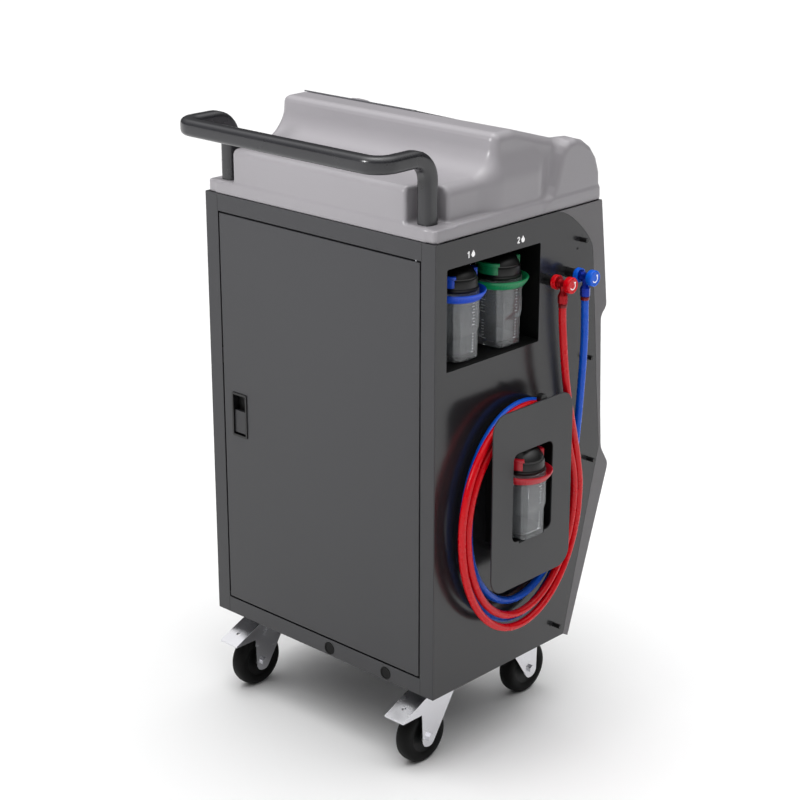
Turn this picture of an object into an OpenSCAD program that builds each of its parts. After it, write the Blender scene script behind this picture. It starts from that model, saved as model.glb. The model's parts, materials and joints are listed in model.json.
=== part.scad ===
/* [Cabinet] */
// Width of the cabinet across the rear face
cab_w = 530; // [510:5:560]
// Height of the cabinet from its base to the tray joint
cab_h = 780; // [770:1:790]
// Sheet thickness of the panels
sheet = 1.5; // [1.2:0.1:2]
// Width of the rear posts and rails
post_w = 30; // [28:1:34]
// Gap around the door
door_gap = 3; // [2.5:0.1:3.5]
// Depth of the folded door edges
door_fold = 16; // [14:1:20]

/* [Handle] */
// Diameter of the handle tube
handle_d = 28; // [24:1:30]
// Height of the crossbar centre above the cabinet base
handle_z = 910; // [902:1:918]
// Distance of the crossbar centre behind the rear face
handle_y = 82; // [78:1:88]

/* [Casters] */
// Wheel diameter
wheel_d = 100; // [96:1:102]
// Wheel width
wheel_w = 30; // [26:1:32]
// Distance of the cabinet base from the floor
floor_h = 145; // [140:1:148]
// Distance from the swivel axis to the axle
trail = 42; // [40:1:44]

/* [Hoses] */
// Outer diameter of a service hose
hose_d = 13; // [11:0.5:13]
// Distance of the blue loops from the panel
blue_off = 14; // [12:0.5:14]
// Distance of the red loops from the panel
red_off = 30; // [29:0.5:31]

/* [Bottles] */
// Width of a jar across its flats
jar_w = 61.6; // [60:0.2:62]
// Diameter of the rim of a collar ring
ring_d = 98; // [94:1:100]
// Height of a jar with its neck
jar_h = 116.5; // [112:0.5:117]

/* [Hanger] */
// Distance of the hanger plate's outer face from the panel
plate_off = 51; // [50:1:53]
// Length of the small pegs on the side panels
peg_len = 14; // [10:1:18]

/* [Hidden] */
$fn = 48;
e = 0.01;
front_y = -456;
// centre of the box that holds the machine, in the cabinet's own corner frame
x_lo = -(30 + ring_d / 2);
x_hi = cab_w + peg_len;
y_hi = handle_y + handle_d / 2;
ox = (x_lo + x_hi) / 2;
oy = (y_hi + front_y) / 2;
mid_x = cab_w / 2;
wheel_z = -floor_h + wheel_d / 2;

// ---------- helpers ----------
// from the cabinet's corner frame to the part frame
module place() { translate([-ox, -oy, floor_h]) children(); }
// extrude a (y, z) outline from x0 to x1
module along_x(x0, x1) { translate([x0, 0, 0]) rotate([90, 0, 90]) linear_extrude(x1 - x0) children(); }
// extrude an (x, z) outline from y0 to the lower y1
module along_y(y0, y1) { translate([0, y0, 0]) rotate([90, 0, 0]) linear_extrude(y0 - y1) children(); }
module box(p, q) { translate(p) cube(q - p); }
// rounded rectangle from corner a to corner b
module rr(a, b, r) {
  translate([a[0] + r, a[1]]) square([b[0] - a[0] - 2 * r, b[1] - a[1]]);
  translate([a[0], a[1] + r]) square([b[0] - a[0], b[1] - a[1] - 2 * r]);
  for (x = [a[0] + r, b[0] - r], y = [a[1] + r, b[1] - r]) translate([x, y]) circle(r);
}
// cylinder along +x from x0 to x1 at (y, z)
module rod_x(x0, x1, y, z, r) { translate([x0, y, z]) rotate([0, 90, 0]) cylinder(r = r, h = x1 - x0); }
module other_side() { translate([cab_w, 0, 0]) mirror([1, 0, 0]) children(); }
function arc(cx, cy, r, a0, a1, n) = [for (i = [0:n]) let (a = a0 + (a1 - a0) * i / n) [cx + r * cos(a), cy + r * sin(a)]];
function shift(p, dy, dz) = [for (q = p) [q[0] + dy, q[1] + dz]];

// ---------- side and front outlines, as (y, z) ----------
side_front = [[-299, cab_h], [-318, 773], [-334, 764], [-350, 752], [-368, 736], [-384, 718], [-390, 708], [-393, 696],
  [-408, 540], [-415, 455], [-428, 335], [-343, 0]];
fascia_out = [[-358, -8], [-456, 288], [-456, 298], [-436, 330], [-431, 400], [-423, 575], [-438, 588], [-426, 690], [-415, 779]];

module side_outline() { polygon(concat([[-sheet, 0], [-sheet, cab_h]], side_front)); }

// ---------- cabinet ----------
module base_pan() color([0.25, 0.25, 0.27]) place() difference() {
  union() {
    box([sheet, -342, 0], [cab_w - sheet, -sheet, 3]);
    box([sheet, -330, 3], [sheet + 2, -25, 22]);
    box([cab_w - sheet - 2, -330, 3], [cab_w - sheet, -25, 22]);
  }
  for (c = casters) for (sx = [-1, 1], sy = [-1, 1])
    translate([c[0] + sx * 38, c[1] + sy * 28, -1]) cylinder(r = 4.2, h = 6);
}

module hose_side_panel() color([0.31, 0.31, 0.32]) place() along_x(0, sheet) difference() {
  side_outline();
  rr([-254, 568], [-27, 736], 3);
  // pocket behind the hanger plate
  translate([-241.3, 245.7]) square([112.6, 174.3]);
}

module plain_side_panel() color([0.31, 0.31, 0.32]) place() along_x(cab_w - sheet, cab_w) difference() {
  side_outline();
  for (i = [0:11]) rr([-265, 486 + 15 * i], [-105, 492 + 15 * i], 2.9);
  rr([-118, 58], [-62, 112], 3);
}

module rear_frame() color([0.3, 0.3, 0.31]) place() difference() {
  union() {
    along_y(0, -sheet) difference() {
      square([cab_w, cab_h]);
      translate([post_w, post_w]) square([cab_w - 2 * post_w, cab_h - 2 * post_w]);
      for (x = [243.5, 108.8]) translate([x, 13]) circle(10);
    }
    for (x = [sheet, cab_w - 2 * sheet]) box([x, -20, 24], [x + sheet, -sheet, cab_h]);
    box([2 * sheet, -20, cab_h - sheet], [cab_w - 2 * sheet, -sheet, cab_h]);
    box([post_w + 1, -15, cab_h - post_w], [60, -sheet, cab_h - post_w + 3]);
    box([post_w + 1, -15, post_w - 3], [60, -sheet, post_w]);
  }
  translate([hinge_x, hinge_y, 0]) cylinder(r = 4.05, h = cab_h - 20);
}

function back(p) = [for (i = [len(p) - 1:-1:0]) p[i]];
fascia_in = concat(shift([for (i = [0:len(fascia_out) - 2]) fascia_out[i]], 3.5, 2), [[-411.5, 779]]);
module front_fascia() color([0.47, 0.46, 0.47]) place() difference() {
  union() {
    along_x(0, cab_w) polygon(concat(fascia_out, back(fascia_in)));
    // cheeks that close the ends
    for (x = [0, cab_w - 3]) along_x(x, x + 3)
      polygon(concat(shift([for (i = [len(side_front) - 1:-1:1]) side_front[i]], -0.6, 0), [[-302, 779]], shift(back(fascia_in), 0.3, 0)));
  }
  // recessed field on the front
  along_x(70, cab_w - 70) polygon([[-460, 420], [-428.6, 420], [-422.6, 555], [-460, 555]]);
  // air slots low on the front
  for (i = [0:9]) box([150, -470, 60 + 16 * i], [cab_w - 150, -345, 66 + 16 * i]);
}

// ---------- top tray ----------
tray_mid = concat([[-415, 780.5], [-3, 780.5], [-3, 851], [-4.5, 856.5], [-8, 860], [-13, 861]],
  arc(-122, 899, 38, -90, -180, 8), [[-160.5, 914], [-162, 919], [-165.5, 922.6], [-171, 924.4], [-206, 925], [-214, 923.5],
  [-340, 887], [-352, 882.5], [-380, 866], [-401, 841], [-411, 815]]);
tray_cave = [[-54, 780], [-54, 855], [-164, 855], [-170, 903], [-206, 918], [-338, 880], [-374, 861], [-394, 836], [-404, 810], [-408, 780]];
tray_ear = [[-415, 780.5], [-262, 780.5], [-262, 803], [-274, 804.5], [-284, 810], [-292, 821], [-298, 837], [-303, 856], [-308, 872], [-316, 884], [-330, 891], [-344, 892],
  [-362, 884], [-384, 868], [-402, 845], [-411, 818]];
module tray_notch() {
  translate([0, 0, 803]) linear_extrude(90) {
    translate([-5, -45]) square([73, 60]);
    translate([-5, -50]) square([63, 60]);
    translate([58, -40]) circle(10);
  }
}
module top_tray() color([0.64, 0.63, 0.65]) place() difference() {
  union() {
    box([3, -415, 780.5], [cab_w - 3, -3, 803]);
    along_x(20, cab_w - 20) polygon(tray_mid);
    along_x(3, 21) polygon(tray_ear);
    other_side() along_x(3, 21) polygon(tray_ear);
  }
  tray_notch();
  other_side() tray_notch();
  along_x(25, cab_w - 25) polygon(tray_cave);
  box([75, -60, 780], [cab_w - 75, -8, 855]);
}

module handle_half(r) {
  bend = 38;
  turn = 30;
  translate([40, -25, 803]) cylinder(r = r, h = handle_z - bend - 803);
  translate([40, -25 + bend, handle_z - bend]) rotate([90, 0, -90]) rotate_extrude(angle = 90) translate([bend, 0]) circle(r);
  rod_y(-25 + bend, handle_y - turn, 40, handle_z, r);
  translate([40 + turn, handle_y - turn, handle_z]) rotate([0, 0, 90]) rotate_extrude(angle = 90) translate([turn, 0]) circle(r);
  rod_x(40 + turn, mid_x, handle_y, handle_z, r);
}
module push_handle() color([0.05, 0.05, 0.055]) place() difference() {
  union() {
    handle_half(handle_d / 2);
    other_side() handle_half(handle_d / 2);
  }
  for (x = [40, cab_w - 40]) translate([x, -25, 802]) cylinder(r = handle_d / 2 - 3, h = 45);
}

// the console slopes towards the front
tilt = atan2(36.5, 126);
module on_console() { translate([0, -214, 923.5]) rotate([tilt, 0, 0]) children(); }
module display_bezel() color([0.09, 0.09, 0.1]) place() on_console() difference() {
  translate([0, 0, 0.2]) {
    linear_extrude(1.8) rr([240, -120], [cab_w - 24, 3], 8);
    // raised top edge
    linear_extrude(2.4) rr([241, -4], [cab_w - 25, 2.6], 3);
  }
  translate([0, 0, 1]) linear_extrude(5) rr([252, -110], [cab_w - 36, -7], 3);
}
module display_glass() color([0.03, 0.04, 0.06]) place() on_console()
  translate([0, 0, 1]) linear_extrude(0.9) rr([252.3, -109.7], [cab_w - 36.3, -7.3], 3);

// ---------- niche and hanger ----------
module bottle_niche() color([0.03, 0.03, 0.035]) place() difference() {
  box([sheet, -262, 560], [99, -24.5, 745]);
  box([0, -259, 569], [97, -27, 742]);
}

module hanger_plate() color([0.33, 0.33, 0.34]) place() along_x(-plate_off, -plate_off + 3) difference() {
  rr([-287, 175], [-84.7, 489], 30);
  rr([-236.5, 256], [-136.5, 412], 12);
  // room for the foot of the jar
  translate([-218, 252]) square([64, 12]);
}

module bottle_cradle() color([0.03, 0.03, 0.035]) place() difference() {
  box([-plate_off + 3, -241, 246], [27, -129, 405]);
  box([-plate_off, -238.5, 253.6], [25.5, -131.5, 430]);
}

module hose_pegs() color([0.04, 0.04, 0.045]) place() {
  for (y = [-170, -216]) rod_x(-plate_off + 3, 0, y, 432, 8);
  rod_x(-plate_off + 3, -37.5, -214, 489, 8);
  for (y = [-165, -225]) rod_x(-plate_off + 3, 0, y, 222, 8);
}

module panel_pegs() color([0.04, 0.04, 0.045]) place() for (p = [[-360, 721], [-384, 510], [-399, 319], [-318, 27]]) {
  rod_x(-peg_len, 0, p[0], p[1], 4);
  rod_x(cab_w, cab_w + peg_len, p[0], p[1], 4);
}

// ---------- couplers ----------
red_y = -269;
blue_y = -327.5;
coupler_z = 671;
drop_x = -37;
module parking_posts() color([0.05, 0.05, 0.055]) place() for (y = [red_y, blue_y]) {
  rod_x(-17.5, 0, y, coupler_z, 8.5);
  rod_x(-28, -17.5, y, coupler_z, 5);
}
// turn (radius, distance from the panel) pairs about the coupler's axis
module turned(y) translate([0, y, coupler_z]) rotate([0, -90, 0]) rotate_extrude() children();
module coupler_body(y) place() difference() {
  union() {
    turned(y) polygon([[0, 18.5], [9, 18.5], [9, 31.2], [6.5, 31.2], [6.5, 45.8], [5, 45.8], [5, 55], [0, 55]]);
    translate([drop_x, y, coupler_z - 16]) cylinder(r1 = 8.2, r2 = 5.5, h = 3.5);
    translate([drop_x, y, coupler_z - 12.6]) cylinder(r = 5.5, h = 10);
    translate([drop_x, y, coupler_z - 34]) rotate([0, 0, 22.5]) cylinder(r = 8.6, h = 18.2, $fn = 8);
  }
  rod_x(-29, -18, y, coupler_z, 5.3);
}
module coupler_collar(y) place() turned(y) polygon([[9.05, 19], [12.2, 19], [12.2, 28], [9.05, 28]]);
module coupler_knob(y) place() turned(y)
  polygon([[5.05, 46.4], [12.8, 46.4], [13.6, 47.2], [13.6, 56.2], [12, 57.8], [0, 57.8], [0, 55.4], [5.05, 55.4]]);
module red_coupler_body() color([0.75, 0.05, 0.08]) coupler_body(red_y);
module red_coupler_collar() color([0.75, 0.05, 0.08]) coupler_collar(red_y);
module red_coupler_knob() color([0.85, 0.06, 0.1]) coupler_knob(red_y);
module blue_coupler_body() color([0.08, 0.3, 0.75]) coupler_body(blue_y);
module blue_coupler_collar() color([0.08, 0.3, 0.75]) coupler_collar(blue_y);
module blue_coupler_knob() color([0.08, 0.34, 0.82]) coupler_knob(blue_y);

// ---------- hoses ----------
// a loop is an oval: half-width, height above and depth below its centre
red_c = [-186, 289];
blue_c = [-196, 288];
red_outer = [151, 190, 203];
red_inner = [139, 168, 180];
blue_outer = [142, 190, 194];
blue_inner = [127, 168, 161];
function oval(c, s, d) = [for (i = [0:63]) let (a = i * 5.625) [c[0] + (s[0] + d) * cos(a), c[1] + (sin(a) > 0 ? s[1] + d : s[2] + d) * sin(a)]];
module hose_coil(c, so, si, off) place() along_x(-off - hose_d / 2, -off + hose_d / 2) difference() {
  polygon(oval(c, so, hose_d / 2));
  polygon(oval(c, si, -hose_d / 2));
}
module red_hose_coil() color([0.85, 0.02, 0.08]) hose_coil(red_c, red_outer, red_inner, red_off);
module blue_hose_coil() color([0.05, 0.35, 0.85]) hose_coil(blue_c, blue_outer, blue_inner, blue_off);

red_route = [[drop_x, red_y, 637], [drop_x, -269.5, 610], [-38.5, -273, 560], [-38.5, -281, 505], [-36, -296, 450], [-32, -314, 400], [-red_off, -329, 350], [-red_off, -336, 310], [-red_off, -337, 289]];
red_end = [[-red_off, -278, 375], [-red_off, -277.5, 396], [-red_off, -272, 420], [-red_off, -259, 440], [-red_off, -240, 451], [-red_off, -218, 453]];
blue_end = [[-blue_off, -261, 375], [-blue_off, -260.5, 402], [-blue_off, -255, 424], [-blue_off, -243, 441], [-blue_off, -228, 450], [-blue_off, -209, 453]];
blue_route = [[drop_x, blue_y, 637], [drop_x, -328.5, 610], [-35, -332, 555], [-29, -336, 490], [-22, -340, 425], [-16, -341, 360], [-blue_off, -339, 315], [-blue_off, -338, 288]];
// a smooth line through the route's points, with four rings a stretch
function spline(p, i, t) = let (a = p[max(i - 1, 0)], b = p[i], c = p[i + 1], d = p[min(i + 2, len(p) - 1)])
  b + t / 2 * ((c - a) + t * ((2 * a - 5 * b + 4 * c - d) + t * (3 * b - a - 3 * c + d)));
function line_of(p) = concat([for (i = [0:len(p) - 2], k = [0:1]) spline(p, i, k / 2)], [p[len(p) - 1]]);
function unit(v) = v / norm(v);
module tube(p, r, n) {
  m = len(p);
  pts = [for (i = [0:m - 1]) let (d = unit(p[min(i + 1, m - 1)] - p[max(i - 1, 0)]), u = unit(cross(d, [1, 0, 0])), w = cross(u, d))
    for (k = [0:n - 1]) p[i] + r * (cos(360 * k / n) * u + sin(360 * k / n) * w)];
  faces = concat([[for (k = [0:n - 1]) k]], [for (i = [0:m - 2], k = [0:n - 1]) [i * n + k, (i + 1) * n + k, (i + 1) * n + (k + 1) % n, i * n + (k + 1) % n]],
    [[for (k = [n - 1:-1:0]) (m - 1) * n + k]]);
  polyhedron(points = pts, faces = faces);
}
module red_hose_tail() color([0.85, 0.02, 0.08]) place() {
  tube(line_of(red_route), hose_d / 2, 10);
  tube(line_of(red_end), hose_d / 2, 10);
}
module blue_hose_tail() color([0.05, 0.35, 0.85]) place() {
  tube(line_of(blue_route), hose_d / 2, 10);
  tube(line_of(blue_end), hose_d / 2, 10);
}

// bulkhead elbows that the inner ends of the hoses run into
module fitting(y, off) {
  rod_x(-off - 8, 0, y, 352, 7.5);
  rod_x(-4, 0, y, 352, 8.2);
  translate([-off, y, 352]) cylinder(r = 7, h = 23);
}
module hose_fittings() color([0.72, 0.6, 0.32]) place() {
  fitting(-278, red_off);
  fitting(-261, blue_off);
}

// ---------- casters ----------
// swivel axis (x, y) and the way the wheel trails
casters = [[59, -75, 1], [cab_w - 59, -75, 1], [95, -303, -1], [cab_w - 95, -303, -1]];
module at_caster(c) translate([c[0], c[1], 0]) rotate([0, 0, c[2] > 0 ? 0 : 180]) children();
module caster_plates() color([0.8, 0.8, 0.82]) place() for (c = casters) at_caster(c) {
  difference() {
    translate([0, 0, -4]) linear_extrude(4) rr([-48, -38], [48, 38], 6);
    for (sx = [-1, 1], sy = [-1, 1]) translate([sx * 38, sy * 28, -5]) cylinder(r = 4.2, h = 6);
  }
  translate([0, 0, -9.6]) cylinder(r = 28, h = 5.6);
  translate([0, 0, -14]) cylinder(r = 6, h = 6);
  translate([0, 0, -18]) cylinder(r = 10, h = 4.6);
}
module caster_bolts() color([0.7, 0.7, 0.72]) place() for (c = casters) at_caster(c)
  for (sx = [-1, 1], sy = [-1, 1]) translate([sx * 38, sy * 28, 0]) {
    translate([0, 0, -9]) cylinder(r = 6.5, h = 5, $fn = 6);
    translate([0, 0, -4.5]) cylinder(r = 4, h = 13);
    translate([0, 0, 3]) cylinder(r = 6.5, h = 4.5, $fn = 6);
  }
fork_side = [[-34, -10], [20, -10], [53, -20], [107, -44], [107, -47], [60, -47], [58, -102], [54, -109], [48, -112], [42, -113], [36, -112], [31, -108], [-16, -36]];
module fork(c) place() at_caster(c) {
  hw = wheel_w / 2 + 4;
  difference() {
    union() {
      for (x = [-hw - 2.5, hw]) along_x(x, x + 2.5) polygon(fork_side);
      along_x(-hw - 2.5, hw + 2.5) polygon([[20, -10], [53, -20], [107, -44], [107, -47], [53, -23], [19.5, -13]]);
      translate([0, 0, -13]) linear_extrude(3) rr([-36, -36], [36, 34], 14);
    }
    translate([0, 0, -20]) cylinder(r = 6.05, h = 20);
    rod_x(-40, 40, trail, wheel_z, 4.3);
    translate([0, 82, -60]) cylinder(r = 4, h = 40);
  }
  // axle bolt
  rod_x(-hw - 2.5, hw + 2.5, trail, wheel_z, 4);
  for (x = [-hw - 7.5, hw + 2.5]) rod_hex(x, x + 5, trail, wheel_z, 7.5);
}
module rod_hex(x0, x1, y, z, r) { translate([x0, y, z]) rotate([0, 90, 0]) cylinder(r = r, h = x1 - x0, $fn = 6); }
module wheel(c) place() at_caster(c) translate([0, trail, wheel_z]) rotate([0, 90, 0]) rotate_extrude($fn = 64) {
  w = wheel_w / 2;
  R = wheel_d / 2;
  polygon([[4.05, -w - 2], [11, -w - 2], [11, -w + 4], [31, -w + 4], [33, -w + 1], [40, -w], [45, -w + 1.5], [48.5, -w + 5], [R, -w + 10],
    [R, w - 10], [48.5, w - 5], [45, w - 1.5], [40, w], [33, w - 1], [31, w - 4], [11, w - 4], [11, w + 2], [4.05, w + 2]]);
}
module fork_rear_hose() color([0.85, 0.85, 0.87]) fork(casters[0]);
module fork_rear_plain() color([0.85, 0.85, 0.87]) fork(casters[1]);
module fork_front_hose() color([0.85, 0.85, 0.87]) fork(casters[2]);
module fork_front_plain() color([0.85, 0.85, 0.87]) fork(casters[3]);
module wheel_rear_hose() color([0.04, 0.04, 0.04]) wheel(casters[0]);
module wheel_rear_plain() color([0.04, 0.04, 0.04]) wheel(casters[1]);
module wheel_front_hose() color([0.04, 0.04, 0.04]) wheel(casters[2]);
module wheel_front_plain() color([0.04, 0.04, 0.04]) wheel(casters[3]);

// ---------- door ----------
door_x0 = post_w + door_gap;
door_x1 = cab_w - post_w - door_gap;
door_z0 = post_w + door_gap;
door_z1 = cab_h - post_w - door_gap;
hinge_x = door_x0 + 12;
hinge_y = -7;
latch_x = 458;
latch_z = 390.5;
module door_panel() color([0.29, 0.29, 0.3]) place() difference() {
  box([door_x0, -door_fold, door_z0], [door_x1, 0, door_z1]);
  box([door_x0 + sheet, -door_fold - 1, door_z0 + sheet], [door_x1 - sheet, -sheet, door_z1 - sheet]);
  box([latch_x - 16.8, -20, latch_z - 38.6], [latch_x + 16.8, 1, latch_z + 38.6]);
}
module door_pivots() color([0.7, 0.7, 0.72]) place() {
  translate([hinge_x, hinge_y, door_z1]) cylinder(r = 4, h = door_gap + 4);
  translate([hinge_x, hinge_y, door_z0 - door_gap - 4]) cylinder(r = 4, h = door_gap + 4);
}
module latch_housing() color([0.03, 0.03, 0.03]) place() difference() {
  union() {
    along_y(2, 0) rr([latch_x - 18.5, latch_z - 40.3], [latch_x + 18.5, latch_z + 40.3], 3);
    box([latch_x - 16.6, -14, latch_z - 38.4], [latch_x + 16.6, 0.5, latch_z + 38.4]);
  }
  box([latch_x - 15, -12.5, latch_z - 36.5], [latch_x + 15, 5, latch_z + 36.5]);
  rod_x(latch_x - 30, latch_x + 30, -4, latch_z - 29.5, 2.05);
}
module latch_paddle() color([0.2, 0.2, 0.21]) place() {
  along_y(-1, -7) rr([latch_x - 14.5, latch_z - 33.5], [latch_x + 14.5, latch_z + 7.5], 1.5);
  for (x = [latch_x - 16.4, latch_x + 14.4]) rod_x(x, x + 2, -4, latch_z - 29.5, 2);
}
module magnet_catch() color([0.5, 0.5, 0.52]) place() {
  box([cab_w - post_w - 2, -40, 470], [cab_w - 2 * sheet, -door_fold - 0.8, 500]);
  box([cab_w - post_w - 24, -40, 470], [cab_w - post_w - 2, -door_fold - 0.8, 500]);
}

// ---------- bottles ----------
// a square jar with cut corners, narrower below its waist
jar_a = jar_w / 2;
jar_b = jar_a - 8.1;
function jar_out(k) = k * [[jar_a, jar_b], [jar_b, jar_a], [-jar_b, jar_a], [-jar_a, jar_b], [-jar_a, -jar_b], [-jar_b, -jar_a], [jar_b, -jar_a], [jar_a, -jar_b]];
module jar() difference() {
  union() {
    linear_extrude(52) polygon(jar_out(0.93));
    translate([0, 0, 52]) linear_extrude(49.5) polygon(jar_out(1));
    translate([0, 0, 101]) cylinder(r = 38, h = jar_h - 101);
  }
  translate([0, 0, 9]) linear_extrude(46) polygon(jar_out(0.85));
  translate([0, 0, 54.5]) linear_extrude(43) polygon(jar_out(0.92));
  translate([0, 0, 97]) cylinder(r = 29, h = 30);
}
module lid() {
  rotate_extrude() polygon([[0, jar_h], [37, jar_h], [37, 120.5], [35.2, 122], [35.2, 135.5], [33.2, 137.5], [31.4, 142.5], [27, 148.5], [21, 153], [12, 157], [0, 158.6]]);
  translate([-9, 33, 126]) cube([18, 7, 19.5]);
  translate([-6, -33, 135]) cube([12, 9, 13]);
}
// a flared collar whose rim stands clear of the lid
module ring() rotate_extrude() polygon([[38.05, 101.9], [41, 101.9], [ring_d / 2 - 1.5, 111], [ring_d / 2, 113], [ring_d / 2, 116.1], [ring_d / 2 - 2.2, 116.1], [40.2, 105.2], [38.05, 105.2]]);
blue_at = [40, -92.5, 569.4];
green_at = [40, -197.5, 569.4];
red_at = [-30, -186, 254];
module blue_bottle_jar() color([0.7, 0.72, 0.75]) place() translate(blue_at) jar();
module blue_bottle_lid() color([0.04, 0.04, 0.04]) place() translate(blue_at) lid();
module blue_bottle_ring() color([0.1, 0.3, 0.85]) place() translate(blue_at) ring();
module green_bottle_jar() color([0.7, 0.72, 0.75]) place() translate(green_at) jar();
module green_bottle_lid() color([0.04, 0.04, 0.04]) place() translate(green_at) lid();
module green_bottle_ring() color([0.08, 0.5, 0.32]) place() translate(green_at) ring();
module red_bottle_jar() color([0.7, 0.72, 0.75]) place() translate(red_at) jar();
module red_bottle_lid() color([0.04, 0.04, 0.04]) place() translate(red_at) lid();
module red_bottle_ring() color([0.75, 0.1, 0.16]) place() translate(red_at) ring();

// ---------- power and inside ----------
module power_inlet() color([0.06, 0.06, 0.06]) place() {
  inlet_pins();
  difference() {
  union() {
    along_x(cab_w, cab_w + 2.5) rr([-120, 56], [-60, 114], 3);
    box([cab_w - 26, -117, 59], [cab_w + 0.5, -63, 111]);
  }
  // socket recess
  box([cab_w - 20, -107, 64], [cab_w + 5, -73, 84]);
  // rocker window
  box([cab_w - 10, -103, 91], [cab_w + 5, -77, 107]);
  rod_y(-110, -70, cab_w - 2, 99, 1.55);
  }
}
module inlet_pins() for (p = [[-98, 70], [-82, 70], [-90, 77]]) box([cab_w - 20.5, p[0] - 1, p[1] - 2], [cab_w - 8, p[0] + 1, p[1] + 2]);
module rod_y(y0, y1, x, z, r) { translate([x, y0, z]) rotate([-90, 0, 0]) cylinder(r = r, h = y1 - y0); }
module rocker_switch() color([0.6, 0.08, 0.08]) place() {
  along_y(-77.5, -102.5) polygon([[cab_w - 4.5, 92.2], [cab_w + 2.2, 92.2], [cab_w + 1, 99], [cab_w + 3.6, 105], [cab_w - 1.6, 105]]);
  rod_y(-104.5, -75.5, cab_w - 2, 99, 1.5);
}
module weigh_scale() color([0.6, 0.6, 0.62]) place() {
  box([262, -305, 30], [478, -60, 34]);
  box([285, -280, 22], [455, -85, 30]);
  for (x = [290, 435], y = [-250, -128]) translate([x, y, 3]) cylinder(r = 9, h = 19);
}
module refrigerant_tank() color([0.75, 0.75, 0.77]) place() translate([370, -182, 34]) {
  rotate_extrude() difference() {
    polygon(concat([[0, 12], [70, 12], [78, 0], [84, 0], [84, 16]], [[100, 26], [104, 40], [104, 280]], arc(0, 280, 104, 0, 80, 10), [[18, 384], [18, 392], [0, 392]]));
    polygon(concat([[0, 28], [96, 28], [101, 42], [101, 280]], arc(0, 280, 101, 5, 80, 10), [[0, 379.5]]));
  }
  translate([0, 0, 392]) cylinder(r = 12, h = 22);
  rod_x(-34, 34, 0, 406, 7);
  translate([28, 0, 406]) cylinder(r = 13, h = 16);
  translate([-28, 0, 406]) cylinder(r = 13, h = 16);
}
module compressor() color([0.06, 0.06, 0.07]) place() translate([120, -235, 3]) {
  translate([0, 0, 14]) rotate_extrude() polygon(concat([[0, 0], [66, 0], [72, 8], [72, 130]], arc(0, 130, 72, 0, 70, 7), [[20, 200], [0, 202]]));
  translate([0, 0, 8]) linear_extrude(6) rr([-85, -75], [85, 75], 12);
  for (x = [-72, 72], y = [-60, 60]) translate([x, y, 0]) cylinder(r = 9, h = 8);
}
module vacuum_pump() color([0.2, 0.25, 0.4]) place() {
  box([106, -125, 3], [252, -55, 9]);
  box([119, -115, 9], [149, -65, 40]);
  box([205, -115, 9], [235, -65, 40]);
  rod_x(106, 194, -90, 75, 42);
  box([194, -135, 30], [256, -45, 120]);
  translate([228, -90, 120]) cylinder(r = 12, h = 22);
}
module filter_drier() color([0.12, 0.3, 0.18]) place() {
  translate([46, -300, 330]) rotate_extrude() polygon([[0, 0], [8, 0], [8, 14], [22, 20], [34, 34], [34, 166], [22, 180], [8, 186], [8, 200], [0, 200]]);
  for (z = [375, 470]) box([sheet, -316, z], [13, -284, z + 16]);
}
module condenser() color([0.66, 0.67, 0.69]) place() difference() {
  union() {
    box([478, -300, 450], [506, -70, 690]);
    box([506, -300, 450], [cab_w - sheet, -70, 690]);
  }
  for (i = [0:22]) box([470, -302, 456 + 10 * i], [500, -68, 461 + 10 * i]);
  difference() {
    rod_x(506, cab_w, -185, 570, 106);
    rod_x(505, 523, -185, 570, 5);
  }
}
module fan_rotor() color([0.05, 0.05, 0.05]) place() translate([509, -185, 570]) rotate([0, 90, 0]) difference() {
  union() {
    cylinder(r = 30, h = 15);
    for (i = [0:6]) rotate([0, 0, i * 360 / 7]) translate([28, 0, 7.5]) rotate([32, 0, 0]) translate([0, -14, -1.2]) cube([72, 28, 2.4]);
  }
  translate([0, 0, -1]) cylinder(r = 5.05, h = 20);
  difference() {
    translate([0, 0, -20]) cylinder(r = 140, h = 60);
    translate([0, 0, -20]) cylinder(r = 100, h = 60);
  }
}
module control_box() color([0.15, 0.16, 0.18]) place() {
  box([99, -240, 590], [135, -60, 725]);
  for (y = [-215, -170, -125]) box([135, y, 600], [141, y + 30, 612]);
}

base_pan();
hose_side_panel();
plain_side_panel();
rear_frame();
front_fascia();
top_tray();
push_handle();
display_bezel();
display_glass();
bottle_niche();
hanger_plate();
bottle_cradle();
hose_pegs();
panel_pegs();
parking_posts();
hose_fittings();
red_hose_tail();
red_hose_coil();
blue_hose_tail();
blue_hose_coil();
caster_plates();
caster_bolts();
power_inlet();
rocker_switch();
refrigerant_tank();
weigh_scale();
compressor();
vacuum_pump();
filter_drier();
condenser();
fan_rotor();
control_box();
magnet_catch();
door_panel();
door_pivots();
latch_housing();
latch_paddle();
red_coupler_body();
red_coupler_collar();
red_coupler_knob();
blue_coupler_body();
blue_coupler_collar();
blue_coupler_knob();
fork_rear_hose();
fork_rear_plain();
fork_front_hose();
fork_front_plain();
wheel_rear_hose();
wheel_rear_plain();
wheel_front_hose();
wheel_front_plain();
blue_bottle_jar();
blue_bottle_lid();
blue_bottle_ring();
green_bottle_jar();
green_bottle_lid();
green_bottle_ring();
red_bottle_jar();
red_bottle_lid();
red_bottle_ring();
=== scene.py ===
import json
import math

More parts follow.
